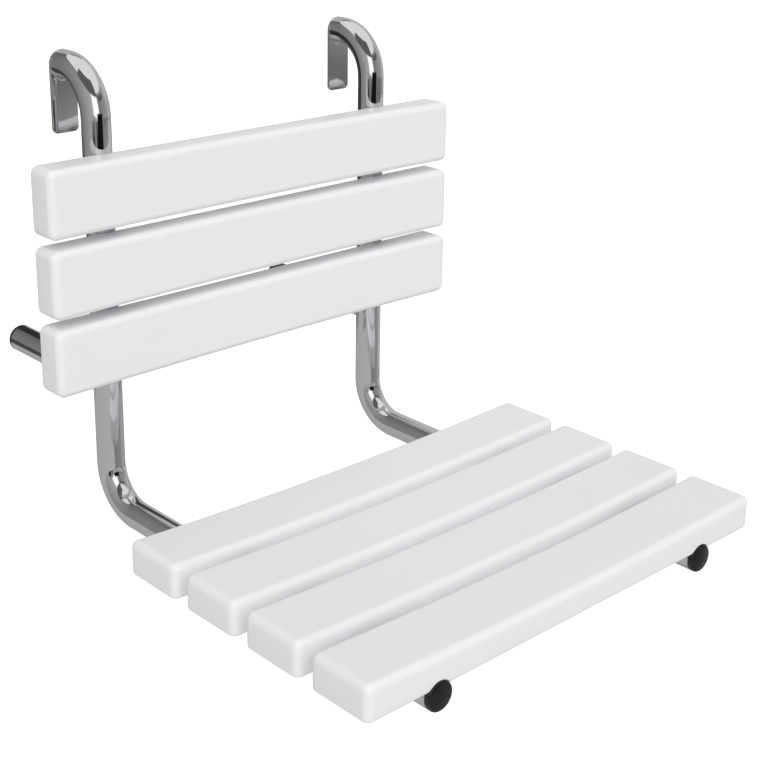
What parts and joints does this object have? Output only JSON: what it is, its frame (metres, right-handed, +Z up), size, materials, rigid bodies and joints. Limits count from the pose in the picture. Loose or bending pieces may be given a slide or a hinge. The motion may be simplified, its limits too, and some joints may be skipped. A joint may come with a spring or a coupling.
{
  "type": "hang-on shower seat",
  "caption": "Slatted shower seat with a slatted back on two bent polished tubes that hook over a horizontal wall rail and brace against the wall.",
  "frame": {"origin": "on the axis of the horizontal rail that the two hooks seat on, midway between the hooks", "axes": "+X along the rail and the slats, +Y towards the wall behind the seat, +Z up; the sitter faces -Y"},
  "size_m": [0.45, 0.5695, 0.419],
  "materials": {
    "polished_tube": "mirror polished",
    "white_moulding": "satin moulded",
    "black_cap": "satin moulded",
    "bright_fastener": "plain turned",
    "brass_insert": "turned and knurled"
  },
  "bodies": {
    "root": {"frame_tube_left": "polished_tube", "frame_tube_right": "polished_tube", "hook_plate_left": "polished_tube", "hook_plate_right": "polished_tube", "wall_strut_left": "polished_tube", "wall_strut_right": "polished_tube", "wall_cap_left": "black_cap", "wall_cap_right": "black_cap", "front_cap_left": "black_cap", "front_cap_right": "black_cap", "back_slat_top": "white_moulding", "back_slat_middle": "white_moulding", "back_slat_bottom": "white_moulding", "seat_slat_rear": "white_moulding", "seat_slat_mid_rear": "white_moulding", "seat_slat_mid_front": "white_moulding", "seat_slat_front": "white_moulding", "back_screws": "bright_fastener", "back_washers": "bright_fastener", "back_inserts": "brass_insert", "seat_screws": "bright_fastener", "seat_washers": "bright_fastener", "seat_inserts": "brass_insert"}
  },
  "joints": []
}
